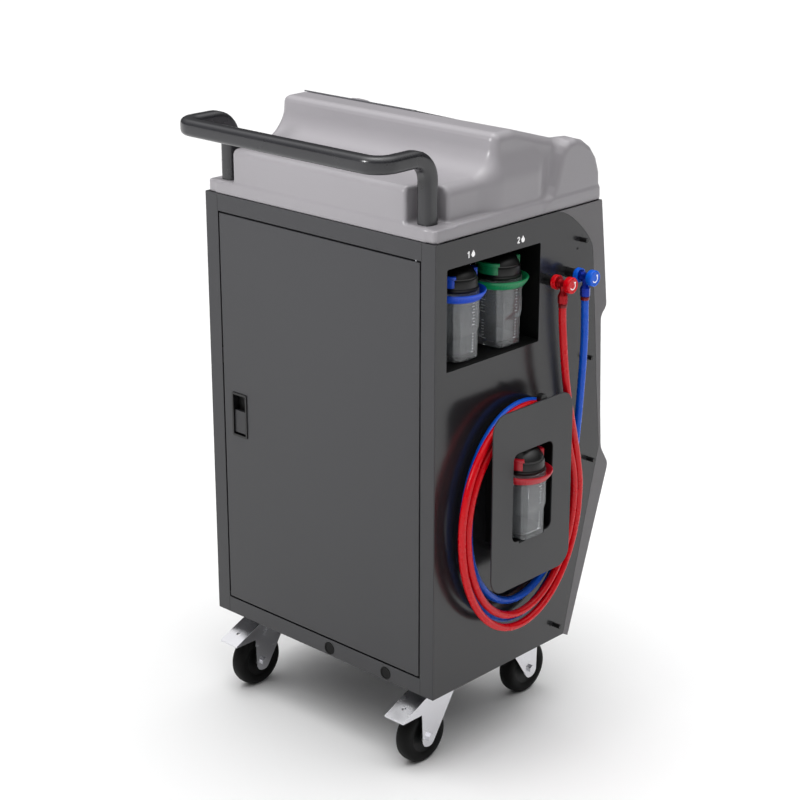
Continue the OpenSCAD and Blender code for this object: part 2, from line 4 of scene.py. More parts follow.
import bmesh
import bpy
import numpy as np
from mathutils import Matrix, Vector


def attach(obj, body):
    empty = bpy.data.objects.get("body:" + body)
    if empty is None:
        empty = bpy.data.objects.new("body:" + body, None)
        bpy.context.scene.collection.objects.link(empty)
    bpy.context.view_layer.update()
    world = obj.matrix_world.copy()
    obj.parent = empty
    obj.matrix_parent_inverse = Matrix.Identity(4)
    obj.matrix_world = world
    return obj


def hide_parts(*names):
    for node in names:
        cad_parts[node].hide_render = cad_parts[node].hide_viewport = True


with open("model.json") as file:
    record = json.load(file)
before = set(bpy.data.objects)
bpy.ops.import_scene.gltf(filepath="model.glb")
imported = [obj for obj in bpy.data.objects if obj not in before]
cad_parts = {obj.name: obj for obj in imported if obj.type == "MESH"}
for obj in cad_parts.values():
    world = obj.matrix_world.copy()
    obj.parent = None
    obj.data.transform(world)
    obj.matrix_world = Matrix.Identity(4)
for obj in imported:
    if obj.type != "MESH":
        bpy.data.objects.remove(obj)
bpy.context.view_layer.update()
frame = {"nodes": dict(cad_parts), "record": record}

NODES = frame["nodes"]
BODY_OF = {n: b for b, ns in frame["record"]["behaviour"]["bodies"].items() for n in ns}
scene = bpy.context.scene
# the cabinet's corner frame, found from the door's hinge, which is at (45, -7, 390) in it
hinge = next(j for j in frame["record"]["behaviour"]["joints"] if j["name"] == "door_hinge")["pos_m"]
OX, OY, OZ = 45 - hinge[0] * 1000, -7 - hinge[1] * 1000, 390 - hinge[2] * 1000


def at(p):
    """A point in the cabinet's corner frame, in mm, as a point in the row frame."""
    return ((p[0] - OX) / 1000, (p[1] - OY) / 1000, (p[2] - OZ) / 1000)


# ------------------------------------------------------------------ camera
cam = bpy.data.cameras.new("camera")
cam.lens = 88.24
cam.sensor_width = 36
cam.clip_start = 0.05
cam.clip_end = 200
eye = bpy.data.objects.new("camera", cam)
scene.collection.objects.link(eye)
eye.location = at((-1949.54, 2149.06, 1561.59))
eye.rotation_euler = Vector((0.6461, -0.6859, -0.3349)).to_track_quat("-Z", "Y").to_euler()
scene.camera = eye


# ------------------------------------------------------------------ materials
def lin(c):
    """sRGB 0..255 to linear."""
    return tuple(((v / 255) / 12.92 if v / 255 <= 0.04045 else ((v / 255 + 0.055) / 1.055) ** 2.4) for v in c)


def material(name, rgb, rough, metal=0.0, var=0.08, var_scale=9.0, rvar=0.06, grain=700.0, bump=0.05, depth=0.0002,
             coat=0.0, coat_rough=0.1, spec=0.5, ior=1.5, trans=0.0, aniso=0.0, streak=None, speck=0.0, glow=0.0):
    m = bpy.data.materials.new(name)
    m.use_nodes = True
    nt = m.node_tree
    b = nt.nodes["Principled BSDF"]
    b.inputs["Metallic"].default_value = metal
    b.inputs["Specular IOR Level"].default_value = spec
    b.inputs["IOR"].default_value = ior
    b.inputs["Coat Weight"].default_value = coat
    b.inputs["Coat Roughness"].default_value = coat_rough
    b.inputs["Transmission Weight"].default_value = trans
    b.inputs["Anisotropic"].default_value = aniso
    if glow:
        b.inputs["Emission Color"].default_value = (*rgb, 1)
        b.inputs["Emission Strength"].default_value = glow
    tc = nt.nodes.new("ShaderNodeTexCoord")
    mp = nt.nodes.new("ShaderNodeMapping")
    nt.links.new(tc.outputs["Object"], mp.inputs["Vector"])
    if streak:
        mp.inputs["Scale"].default_value = streak
    big = nt.nodes.new("ShaderNodeTexNoise")
    big.inputs["Scale"].default_value = var_scale
    big.inputs["Detail"].default_value = 5.0
    nt.links.new(mp.outputs["Vector"], big.inputs["Vector"])
    mix = nt.nodes.new("ShaderNodeMix")
    mix.data_type = "RGBA"
    mix.inputs["A"].default_value = (*[max(0.0, c * (1 - var)) for c in rgb], 1)
    mix.inputs["B"].default_value = (*[min(1.0, c * (1 + var)) for c in rgb], 1)
    nt.links.new(big.outputs["Fac"], mix.inputs["Factor"])
    colour = mix.outputs["Result"]
    fine = nt.nodes.new("ShaderNodeTexNoise")
    fine.inputs["Scale"].default_value = grain
    fine.inputs["Detail"].default_value = 3.0
    nt.links.new(mp.outputs["Vector"], fine.inputs["Vector"])
    if speck:
        sp = nt.nodes.new("ShaderNodeMix")
        sp.data_type = "RGBA"
        sp.blend_type = "MULTIPLY"
        sp.inputs["Factor"].default_value = speck
        ramp = nt.nodes.new("ShaderNodeMapRange")
        ramp.inputs["From Min"].default_value = 0.3
        ramp.inputs["From Max"].default_value = 0.7
        nt.links.new(fine.outputs["Fac"], ramp.inputs["Value"])
        nt.links.new(colour, sp.inputs["A"])
        nt.links.new(ramp.outputs["Result"], sp.inputs["B"])
        colour = sp.outputs["Result"]
    nt.links.new(colour, b.inputs["Base Color"])
    rr = nt.nodes.new("ShaderNodeMapRange")
    rr.inputs["From Min"].default_value = 0.3
    rr.inputs["From Max"].default_value = 0.7
    rr.inputs["To Min"].default_value = max(0.02, rough - rvar)
    rr.inputs["To Max"].default_value = min(1.0, rough + rvar)
    nt.links.new(big.outputs["Fac"], rr.inputs["Value"])
    nt.links.new(rr.outputs["Result"], b.inputs["Roughness"])
    bp = nt.nodes.new("ShaderNodeBump")
    bp.inputs["Strength"].default_value = bump
    bp.inputs["Distance"].default_value = depth
    nt.links.new(fine.outputs["Fac"], bp.inputs["Height"])
    nt.links.new(bp.outputs["Normal"], b.inputs["Normal"])
    return m


M = {
    "panel": material("panel_coat", lin((38, 38, 40)), 0.20, var=0.06, var_scale=4, rvar=0.03, grain=1400, bump=0.05, depth=0.0001),
    "frame": material("frame_coat", lin((52, 52, 55)), 0.36, var=0.05, var_scale=4, rvar=0.04, grain=1400, bump=0.10, depth=0.0001),
    "door": material("door_coat", lin((54, 54, 57)), 0.34, var=0.05, var_scale=3, rvar=0.04, grain=1400, bump=0.10, depth=0.0001),
    "plate": material("plate_coat", lin((44, 44, 46)), 0.40, var=0.05, var_scale=5, rvar=0.04, grain=1400, bump=0.12, depth=0.0001),
    "fascia": material("fascia_moulding", lin((102, 100, 102)), 0.46, var=0.05, var_scale=5, rvar=0.06, grain=1100, bump=0.16, depth=0.00012),
    "tray": material("tray_moulding", lin((150, 147, 151)), 0.32, var=0.03, var_scale=5, rvar=0.05, grain=1200, bump=0.06, depth=0.0001),
    "handle": material("handle_gloss", lin((40, 40, 43)), 0.28, var=0.15, var_scale=6, rvar=0.04, grain=900, bump=0.03, depth=0.0001, coat=0.2, coat_rough=0.15),
    "black": material("black_moulding", lin((12, 12, 13)), 0.40, var=0.15, var_scale=14, rvar=0.06, grain=1200, bump=0.12, depth=0.00012),
    # near-black: the niche liner's own colour, and painted shade where it fills the vent slots and the rail holes
    "niche": material("niche_liner_and_painted_shade", lin((5, 5, 5)), 0.6, var=0.2, var_scale=9, rvar=0.06, grain=900, bump=0.12, depth=0.00012, spec=0.25),
    "paddle": material("paddle_moulding", lin((40, 40, 43)), 0.36, var=0.1, var_scale=14, rvar=0.06, grain=1200, bump=0.12, depth=0.00012),
    "screen": material("screen_glass", lin((10, 14, 22)), 0.08, var=0.2, var_scale=6, rvar=0.02, grain=300, bump=0.01, depth=0.0001, coat=1.0, coat_rough=0.03),
    "zinc": material("zinc_plate", lin((222, 222, 226)), 0.22, metal=1.0, var=0.06, var_scale=30, rvar=0.07, grain=260, bump=0.04, depth=0.0002, streak=(1, 1, 3)),
    "tyre": material("tyre_rubber", lin((8, 8, 8)), 0.6, var=0.2, var_scale=20, rvar=0.08, grain=600, bump=0.15, depth=0.0002, spec=0.18),
    "hub": material("hub_moulding", lin((10, 10, 11)), 0.45, var=0.2, var_scale=25, rvar=0.08, grain=800, bump=0.1, depth=0.0002, spec=0.25),
    "hose_red": material("hose_red_skin", lin((205, 0, 18)), 0.28, var=0.05, var_scale=30, rvar=0.05, grain=900, bump=0.04, depth=0.0001, spec=0.3),
    "hose_blue": material("hose_blue_skin", lin((2, 84, 205)), 0.28, var=0.05, var_scale=30, rvar=0.05, grain=900, bump=0.04, depth=0.0001, spec=0.3),
    "red": material("red_coupler_skin", lin((214, 2, 20)), 0.28, var=0.06, var_scale=40, rvar=0.05, grain=900, bump=0.05, depth=0.0001, spec=0.3),
    "blue": material("blue_coupler_skin", lin((4, 96, 222)), 0.28, var=0.06, var_scale=40, rvar=0.05, grain=900, bump=0.05, depth=0.0001, spec=0.3),
    "red_metal": material("red_anodised", lin((158, 4, 18)), 0.28, metal=0.6, var=0.08, var_scale=40, rvar=0.06, grain=600, bump=0.05, depth=0.0001),
    "blue_metal": material("blue_anodised", lin((6, 44, 158)), 0.28, metal=0.6, var=0.08, var_scale=40, rvar=0.06, grain=600, bump=0.05, depth=0.0001),
    "crimp_red": material("crimp_red", lin((120, 8, 16)), 0.32, metal=0.3, var=0.1, var_scale=40, rvar=0.06, grain=600, bump=0.05, depth=0.0001),
    "jar": material("jar_clear", (0.70, 0.72, 0.74), 0.07, var=0.03, var_scale=20, rvar=0.03, grain=90, bump=0.03, depth=0.0004, trans=0.86, ior=1.42),
    "ring_blue": material("ring_blue_moulding", lin((22, 78, 208)), 0.34, var=0.06, var_scale=30, rvar=0.06, grain=900, bump=0.08, depth=0.0001),
    "ring_green": material("ring_green_moulding", lin((12, 132, 80)), 0.34, var=0.06, var_scale=30, rvar=0.06, grain=900, bump=0.08, depth=0.0001),
    "ring_red": material("ring_red_moulding", lin((178, 16, 34)), 0.34, var=0.06, var_scale=30, rvar=0.06, grain=900, bump=0.08, depth=0.0001),
    "lid": material("lid_moulding", lin((11, 11, 11)), 0.36, var=0.15, var_scale=25, rvar=0.06, grain=900, bump=0.1, depth=0.0001),
    # white print with a painted glow: the 0.25 emission lifts the marks above what the lights give
    "white": material("white_print_painted_glow", lin((240, 240, 240)), 0.5, var=0.03, var_scale=60, rvar=0.05, grain=1500, bump=0.05, depth=0.00005, glow=0.25),
    "tick": material("tick_print", lin((206, 210, 214)), 0.5, var=0.03, var_scale=60, rvar=0.05, grain=1500, bump=0.05, depth=0.00005),
    "bezel": material("bezel_moulding", lin((86, 86, 90)), 0.42, var=0.1, var_scale=14, rvar=0.06, grain=1200, bump=0.10, depth=0.00012),
    "seam": material("seam_shadow", lin((16, 16, 17)), 0.7, var=0.1, var_scale=60, rvar=0.05, grain=900, bump=0.05, depth=0.00005, spec=0.2),
    "ui_blue": material("ui_blue", lin((40, 130, 230)), 0.3, var=0.03, var_scale=60, rvar=0.05, grain=1500, bump=0.02, depth=0.00005, glow=0.9),
    "ui_red": material("ui_red", lin((220, 50, 50)), 0.3, var=0.03, var_scale=60, rvar=0.05, grain=1500, bump=0.02, depth=0.00005, glow=0.9),
    "ui_grey": material("ui_grey", lin((190, 196, 204)), 0.3, var=0.03, var_scale=60, rvar=0.05, grain=1500, bump=0.02, depth=0.00005, glow=0.7),
    "brass": material("brass_turned", lin((186, 150, 86)), 0.28, metal=1.0, var=0.08, var_scale=40, rvar=0.08, grain=400, bump=0.06, depth=0.0002),
    "steel": material("steel_turned", lin((170, 171, 175)), 0.3, metal=1.0, var=0.08, var_scale=40, rvar=0.08, grain=400, bump=0.06, depth=0.0002),
    "tank": material("tank_enamel", lin((150, 152, 156)), 0.34, var=0.04, var_scale=7, rvar=0.05, grain=500, bump=0.06, depth=0.0002),
    "compressor": material("compressor_enamel", lin((22, 22, 24)), 0.34, var=0.12, var_scale=9, rvar=0.06, grain=300, bump=0.15, depth=0.0004),
    "pump": material("pump_enamel", lin((40, 58, 104)), 0.4, var=0.1, var_scale=10, rvar=0.06, grain=240, bump=0.25, depth=0.0005),
    "drier": material("drier_enamel", lin((28, 80, 52)), 0.4, var=0.08, var_scale=10, rvar=0.06, grain=400, bump=0.1, depth=0.0003),
    "fins": material("fin_aluminium", lin((176, 178, 183)), 0.36, metal=0.9, var=0.08, var_scale=30, rvar=0.08, grain=500, bump=0.1, depth=0.0002, streak=(1, 1, 8)),
}
NODE_MAT = {
    "base_pan": "frame", "hose_side_panel": "panel", "plain_side_panel": "panel", "rear_frame": "frame", "door_panel": "door", "hanger_plate": "plate",
    "front_fascia": "fascia", "top_tray": "tray", "push_handle": "handle", "display_bezel": "bezel", "display_glass": "screen", "bottle_niche": "niche",
    "bottle_cradle": "niche", "hose_pegs": "black", "panel_pegs": "black", "latch_housing": "black", "latch_paddle": "paddle", "power_inlet": "black",
    "control_box": "black", "fan_rotor": "black", "caster_plates": "zinc", "caster_bolts": "steel", "door_pivots": "steel", "magnet_catch": "steel",
    "parking_posts": "black", "weigh_scale": "steel", "hose_fittings": "brass", "refrigerant_tank": "tank", "compressor": "compressor",
    "vacuum_pump": "pump", "filter_drier": "drier", "condenser": "fins", "rocker_switch": "ring_red",
    "red_hose_tail": "hose_red", "red_hose_coil": "hose_red", "blue_hose_tail": "hose_blue", "blue_hose_coil": "hose_blue",
    "red_coupler_body": "red_metal", "red_coupler_collar": "red", "red_coupler_knob": "red",
    "blue_coupler_body": "blue_metal", "blue_coupler_collar": "blue", "blue_coupler_knob": "blue",
    "blue_bottle_jar": "jar", "green_bottle_jar": "jar", "red_bottle_jar": "jar", "blue_bottle_lid": "lid", "green_bottle_lid": "lid", "red_bottle_lid": "lid",
    "blue_bottle_ring": "ring_blue", "green_bottle_ring": "ring_green", "red_bottle_ring": "ring_red",
}
for k in ("rear_hose", "rear_plain", "front_hose", "front_plain"):
    NODE_MAT["fork_" + k] = "zinc"
    NODE_MAT["wheel_" + k] = "tyre"
for n, o in NODES.items():
    o.data.materials.clear()
    o.data.materials.append(M[NODE_MAT[n]])


# ------------------------------------------------------------------ mesh helpers
def piece(name, bm_or_mesh, mat, body, replaces=(), angle=35, flat=False):
    """Links a mesh as a piece: smooth shading with sharp edges over an angle, riding on a body."""
    if isinstance(bm_or_mesh, bmesh.types.BMesh):
        bm = bm_or_mesh
    else:
        bm = bmesh.new()
        bm.from_mesh(bm_or_mesh)
    bmesh.ops.recalc_face_normals(bm, faces=bm.faces)
    lim = math.radians(angle)
    for f in bm.faces:
        f.smooth = True
    for e in bm.edges:
        e.smooth = len(e.link_faces) == 2 and e.calc_face_angle(0.0) < lim
    me = bpy.data.meshes.new(name)
    bm.to_mesh(me)
    bm.free()
    o = bpy.data.objects.new(name, me)
    scene.collection.objects.link(o)
    for m in mat if isinstance(mat, (list, tuple)) else [mat]:
        me.materials.append(M[m])
    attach(o, body)
    if replaces:
        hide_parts(*replaces)
    if flat:
        # big flat faces keep their own normal beside rounded edges
        w = o.modifiers.new("flat_faces", "WEIGHTED_NORMAL")
        w.keep_sharp = True
        w.weight = 80
    return o


def from_lists(verts, faces):
    bm = bmesh.new()
    vs = [bm.verts.new(at(v)) for v in verts]
    for f in faces:
        try:
            bm.faces.new([vs[i] for i in f])
        except ValueError:
            pass
    return bm


def remake(node, bevel=0.6, seg=2, angle=30, mat=None):
    """A CAD node with its planar faces joined up and its sharp edges rounded."""
    bm = bmesh.new()
    bm.from_mesh(NODES[node].data)
    bmesh.ops.remove_doubles(bm, verts=bm.verts, dist=2e-6)
    bmesh.ops.dissolve_limit(bm, angle_limit=math.radians(0.5), verts=bm.verts, edges=bm.edges)
    if bevel:
        lim = math.radians(angle)
        ed = [e for e in bm.edges if len(e.link_faces) == 2 and e.calc_face_angle(0.0) > lim]
        bmesh.ops.bevel(bm, geom=ed, offset=bevel / 1000, offset_type="OFFSET", segments=seg, profile=0.5, affect="EDGES", clamp_overlap=True)
    return piece(node + "_skin", bm, mat or NODE_MAT[node], BODY_OF[node], (node,), flat=True)


def ring_faces(rows, n, closed=True):
    f = []
    for i in range(rows - 1):
        for k in range(n if closed else n - 1):
            f.append((i * n + k, i * n + (k + 1) % n, (i + 1) * n + (k + 1) % n, (i + 1) * n + k))
    return f


def lathe(profile, centre, axis, n=64, shape=None):
    """Turns (radius, height) pairs about an axis through centre. shape(angle, i) scales the radius of row i."""
    ax = {"x": ((0, 1, 0), (0, 0, 1), (1, 0, 0)), "z": ((1, 0, 0), (0, 1, 0), (0, 0, 1)), "y": ((0, 0, 1), (1, 0, 0), (0, 1, 0))}[axis]
    verts = []
    for i, (r, h) in enumerate(profile):
        for k in range(n):
            a = 2 * math.pi * k / n
            q = r * (shape(a, i) if shape else 1.0)
            verts.append([centre[j] + q * math.cos(a) * ax[0][j] + q * math.sin(a) * ax[1][j] + h * ax[2][j] for j in range(3)])
    faces = ring_faces(len(profile), n)
    if profile[0] == profile[-1]:
        verts = verts[:-n]
        faces = [tuple(v % len(verts) for v in f) for f in faces]
    else:
        faces.append(tuple(range(n)))
        faces.append(tuple(range((len(profile) - 1) * n, len(profile) * n)))
    return from_lists(verts, faces)


def rounded(profile, r, k=4):
    """Rounds the inner corners of an open or closed outline of (radius, height) pairs."""
    out = []
    m = len(profile)
    for i, p in enumerate(profile):
        if i in (0, m - 1):
            out.append(p)
            continue
        a, b, c = (Vector((*profile[i - 1], 0)), Vector((*p, 0)), Vector((*profile[i + 1], 0)))
        u, v = a - b, c - b
        d = min(r, u.length * 0.45, v.length * 0.45)
        if d < 0.02 or u.angle(v) > 2.9:
            out.append(p)
            continue
        s, t = b + u.normalized() * d, b + v.normalized() * d
        for j in range(k + 1):
            w = j / k
            q = s * (1 - w) ** 2 + b * (2 * w * (1 - w)) + t * w ** 2
            out.append((q.x, q.y))
    return out


def sweep(path, outline, closed_ends=True):
    """Sweeps a closed outline of (u, v) points along a path, with a frame that doesn't twist."""
    pts = [Vector(p) for p in path]
    n = len(outline)
    t0 = (pts[1] - pts[0]).normalized()
    u = Vector((1, 0, 0)) if abs(t0.x) < 0.9 else Vector((0, 0, 1))
    u = (u - t0 * u.dot(t0)).normalized()
    verts = []
    prev = t0
    for i, p in enumerate(pts):
        t = (pts[min(i + 1, len(pts) - 1)] - pts[max(i - 1, 0)]).normalized()
        q = prev.rotation_difference(t)
        u = q @ u
        u = (u - t * u.dot(t)).normalized()
        v = t.cross(u)
        prev = t
        for a, b in outline:
            verts.append(p + u * a + v * b)
    faces = ring_faces(len(pts), n)
    if closed_ends:
        faces.append(tuple(range(n)))
        faces.append(tuple(range((len(pts) - 1) * n, len(pts) * n)))
    return from_lists(verts, faces)


def rounded_square(w, h, r, k=6):
    out = []
    for cx, cy, a0 in ((w / 2 - r, h / 2 - r, 0), (-w / 2 + r, h / 2 - r, 90), (-w / 2 + r, -h / 2 + r, 180), (w / 2 - r, -h / 2 + r, 270)):
        for j in range(k + 1):
            a = math.radians(a0 + 90 * j / k)
            out.append((cx + r * math.cos(a), cy + r * math.sin(a)))
    return out


def block(lo, hi, bevel=0.6, seg=2):
    """A rounded box between two corners, as a bmesh."""
    bm = bmesh.new()
    bmesh.ops.create_cube(bm, size=1.0)
    a, b = Vector(at(lo)), Vector(at(hi))
    for v in bm.verts:
        v.co = Vector([(a[i] + b[i]) / 2 + v.co[i] * (b[i] - a[i]) for i in range(3)])
    bmesh.ops.bevel(bm, geom=bm.edges[:], offset=bevel / 1000, segments=seg, profile=0.5, affect="EDGES", clamp_overlap=True)
    return bm


def join(*bms):
    out = bmesh.new()
    for b in bms:
        me = bpy.data.meshes.new("part")
        b.to_mesh(me)
        b.free()
        out.from_mesh(me)
        bpy.data.meshes.remove(me)
    return out


# ------------------------------------------------------------------ hoses
def oval(c, s, a):
    r = math.radians(a)
    return (c[0] + s[0] * math.cos(r), c[1] + (s[1] if math.sin(r) > 0 else s[2]) * math.sin(r))


def ease(t):
    t = max(0.0, min(1.0, t))
    return t * t * (3 - 2 * t)


def hose_line(x, c, outer, inner, end, first, tail):
    """From the elbow's mouth, round the inner loop, out to the outer loop, round it, and up to the coupler."""
    pts = []
    # an arc from the mouth that runs into the inner loop
    p, q0, q1 = oval(c, inner, first), oval(c, inner, first + 0.2), oval(c, inner, first - 0.2)
    d = Vector((q1[0] - q0[0], q1[1] - q0[1])).normalized()
    nrm = Vector((d.y, -d.x))
    R = (end[0] - p[0]) / (nrm.x - 1)
    cy, cz = end[0] + R, p[1] + R * nrm.y
    if cz - end[1] > 1:
        pts += [(x, end[0], end[1] + (cz - end[1]) * k / 3) for k in range(3)]
    a1 = math.atan2(p[1] - cz, p[0] - cy)
    for i in range(10):
        a = math.pi + (a1 - math.pi) * i / 10
        pts.append((x, cy + R * math.cos(a), cz + R * math.sin(a)))
    a = first
    while a > -202:
        pts.append((x, *oval(c, inner, a)))
        a -= 6
    for i in range(1, 9):
        a, w = 158 - 34 * i / 9, ease(i / 9)
        pi, po = oval(c, inner, a), oval(c, outer, a)
        pts.append((x, pi[0] + (po[0] - pi[0]) * w, pi[1] + (po[1] - pi[1]) * w))
    a = 124
    while a > -176:
        pts.append((x, *oval(c, outer, a)))
        a -= 6
    return pts + list(tail)


def through(pts, k=3):
    """Points on a smooth line through pts."""
    P = [Vector(p) for p in pts]
    P = [2 * P[0] - P[1]] + P + [2 * P[-1] - P[-2]]
    out = []
    for i in range(1, len(P) - 2):
        a, b, c, d = P[i - 1:i + 3]
        for j in range(k):
            t = j / k
            out.append(b + (t / 2) * ((c - a) + t * ((2 * a - 5 * b + 4 * c - d) + t * (3 * b - a - 3 * c + d))))
    return out + [P[-2]]


RED_TAIL = [(-30, -337.5, 289), (-30, -336.5, 310), (-30, -329, 350), (-32, -314, 400), (-36, -296, 450), (-38.5, -281, 505), (-38.5, -273, 560), (-37, -269.5, 610), (-37, -269, 637)]
BLUE_TAIL = [(-14, -338, 288), (-14, -339, 315), (-16, -341, 360), (-22, -340, 425), (-29, -336, 490), (-35, -332, 555), (-37, -328.5, 610), (-37, -327.5, 637)]
HOSES = {
    "red": hose_line(-30, (-186, 289), (151.5, 190, 203), (137, 168, 180), (-278, 375), 107.5, RED_TAIL),
    "blue": hose_line(-14, (-196, 288), (142, 190, 194), (127, 168, 161), (-261, 375), 80.0, BLUE_TAIL),
}


def hose(name, pts, mat, d=13.0):
    line = [at(p) for p in through(pts)]
    cu = bpy.data.curves.new(name, "CURVE")
    cu.dimensions = "3D"
    sp = cu.splines.new("POLY")
    sp.points.add(len(line) - 1)
    for q, p in zip(sp.points, line):
        q.co = (*p, 1)
    cu.bevel_depth = d / 2000
    cu.bevel_resolution = 6
    cu.use_fill_caps = True
    sp.use_smooth = True
    cu.materials.append(M[mat])
    o = bpy.data.objects.new(name, cu)
    scene.collection.objects.link(o)
    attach(o, "cabinet")
    length = sum((Vector(a) - Vector(b)).length for a, b in zip(line, line[1:]))
    return o, line, length


# ------------------------------------------------------------------ tray
def rmax(a, b, r):
    """Intersection with a round edge of radius r."""
    return np.minimum(-r, np.maximum(a, b)) + np.sqrt(np.maximum(a + r, 0) ** 2 + np.maximum(b + r, 0) ** 2)


def rmin(a, b, r):
    """Union with a round inner corner of radius r."""
    return np.maximum(r, np.minimum(a, b)) - np.sqrt(np.maximum(r - a, 0) ** 2 + np.maximum(r - b, 0) ** 2)


def outline_field(poly, Y, Z):
    """Signed distance to a closed outline of (y, z) points."""
    d = np.full(Y.shape, 1e9)
    s = np.ones(Y.shape)
    m = len(poly)
    for i in range(m):
        ax, ay = poly[i]
        bx, by = poly[i - 1]
        ex, ey = bx - ax, by - ay
        wx, wy = Y - ax, Z - ay
        t = np.clip((wx * ex + wy * ey) / (ex * ex + ey * ey), 0, 1)
        d = np.minimum(d, (wx - ex * t) ** 2 + (wy - ey * t) ** 2)
        c1, c2, c3 = Z >= ay, Z < by, ex * wy > ey * wx
        flip = (c1 & c2 & c3) | (~c1 & ~c2 & ~c3)
        s = np.where(flip, -s, s)
    return s * np.sqrt(d)


CONSOLE = [(-152, 782), (-156, 850), (-160, 906), (-161, 914), (-163.2, 919.5), (-167, 923), (-173, 924.7), (-206, 925), (-214, 923.5), (-340, 887),
           (-352, 882.5), (-367, 875), (-380, 866), (-391, 855), (-401, 841), (-407, 828), (-411, 815), (-415, 782)]
EAR = [(-415, 782), (-262, 782), (-262, 803), (-274, 804.5), (-284, 810), (-292, 821), (-298, 837), (-303, 856), (-308, 872), (-316, 884), (-330, 891), (-346, 892.5),
       (-366, 887), (-387, 873), (-403, 853), (-412, 828)]


def tray_field(x, y, z):
    u = 265 - np.abs(x - 265)
    base = rmax(rmax(3 - u, np.maximum(y + 3, -415 - y), 9), z - 803, 4)
    deck = rmax(rmax(20 - u, z - 861, 20), np.maximum(y + 3, -260 - y), 10)
    console = rmax(outline_field(CONSOLE, y, z), 20 - u, 16)
    body = rmin(deck, console, 42)
    ear = rmax(outline_field(EAR, y, z), np.maximum(3 - u, u - 40), 12)
    body = rmin(body, ear, 14)
    body = rmin(body, base, 5)
    notch = rmax(rmax(u - 67, -50 - y, 13), 803 - z, 5)
    body = rmax(body, -notch, 6)
    return np.maximum(body, 780.5 - z)


def surface(f, lo, hi, h):
    """A closed quad mesh on f = 0 in a box."""
    n = [int(math.ceil((hi[i] - lo[i]) / h)) + 1 for i in range(3)]
    grid = [lo[i] + h * np.arange(n[i]) for i in range(3)]
    X, Y, Z = np.meshgrid(*grid, indexing="ij")
    V = f(X, Y, Z)
    S = V < 0
    cells = [k - 1 for k in n]
    count = np.zeros(cells, int)
    for i in (0, 1):
        for j in (0, 1):
            for k in (0, 1):
                count += S[i:i + cells[0], j:j + cells[1], k:k + cells[2]]
    act = (count > 0) & (count < 8)
    idx = np.full(cells, -1)
    idx[act] = np.arange(act.sum())
    I = np.argwhere(act)
    pos, cnt = np.zeros((len(I), 3)), np.zeros(len(I))
    for a in range(3):
        b, c = (a + 1) % 3, (a + 2) % 3
        for j in (0, 1):
            for k in (0, 1):
                p0 = I.copy()
                p0[:, b] += j
                p0[:, c] += k
                p1 = p0.copy()
                p1[:, a] += 1
                v0, v1 = V[tuple(p0.T)], V[tuple(p1.T)]
                m = (v0 < 0) != (v1 < 0)
                t = np.where(m, v0 / np.where(m, v0 - v1, 1), 0)
                q = p0.astype(float)
                q[:, a] += t
                pos[m] += q[m]
                cnt[m] += 1
    pos = np.array(lo) + h * pos / cnt[:, None]
    for _ in range(3):
        d = f(*pos.T)
        g = np.stack([(f(*(pos + e).T) - f(*(pos - e).T)) / 0.4 for e in 0.2 * np.eye(3)], 1)
        step = g * (d / np.maximum((g ** 2).sum(1), 0.2))[:, None]
        length = np.linalg.norm(step, axis=1, keepdims=True)
        pos -= step * np.minimum(1, 0.4 * h / np.maximum(length, 1e-9))
    quads = []
    for a in range(3):
        b, c = (a + 1) % 3, (a + 2) % 3
        sl0 = [slice(None)] * 3
        sl1 = [slice(None)] * 3
        sl0[a], sl1[a] = slice(0, n[a] - 1), slice(1, n[a])
        s0, s1 = S[tuple(sl0)], S[tuple(sl1)]
        E = np.argwhere(s0 != s1)
        E = E[(E[:, b] > 0) & (E[:, c] > 0) & (E[:, b] < n[b] - 1) & (E[:, c] < n[c] - 1)]
        q = []
        for db, dc in ((0, 0), (-1, 0), (-1, -1), (0, -1)):
            w = E.copy()
            w[:, b] += db
            w[:, c] += dc
            q.append(idx[tuple(w.T)])
        q = np.stack(q, 1)
        flip = ~s0[tuple(E.T)]
        q[flip] = q[flip][:, ::-1]
        quads.append(q)
    return pos, np.vstack(quads)


def mesh_of(pos, quads, name):
    me = bpy.data.meshes.new(name)
    me.from_pydata([at(p) for p in pos], [], quads.tolist())
    return me


red_hose, red_line, red_len = hose("red_hose", HOSES["red"], "hose_red")
blue_hose, blue_line, blue_len = hose("blue_hose", HOSES["blue"], "hose_blue")
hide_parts("red_hose_tail", "red_hose_coil")
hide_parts("blue_hose_tail", "blue_hose_coil")

pos, quads = surface(tray_field, (-3, -421, 776), (533, 3, 931), 2.3)
piece("tray_moulding", mesh_of(pos, quads, "tray"), "tray", "cabinet", ("top_tray",), angle=60)


# ------------------------------------------------------------------ handle
def bend(c, u, v, r, n=12):
    """Points on a quarter turn about c, from c + r u to c + r v."""
    return [[c[i] + r * (math.cos(a) * u[i] + math.sin(a) * v[i]) for i in range(3)] for a in [math.pi / 2 * k / n for k in range(n + 1)]]


half = [[40, -25, 803], [40, -25, 840]]
half += bend((40, 13, 872), (0, -1, 0), (0, 0, 1), 38)
half += bend((70, 52, 910), (-1, 0, 0), (0, 1, 0), 30, 14)
bar = [[70 + 19.5 * k, 82, 910] for k in range(1, 20)]
other = [[530 - p[0], p[1], p[2]] for p in reversed(half)]
piece("handle_tube", sweep(half + bar + other, rounded_square(27.6, 27.6, 8.5)), "handle", "cabinet", ("push_handle",))

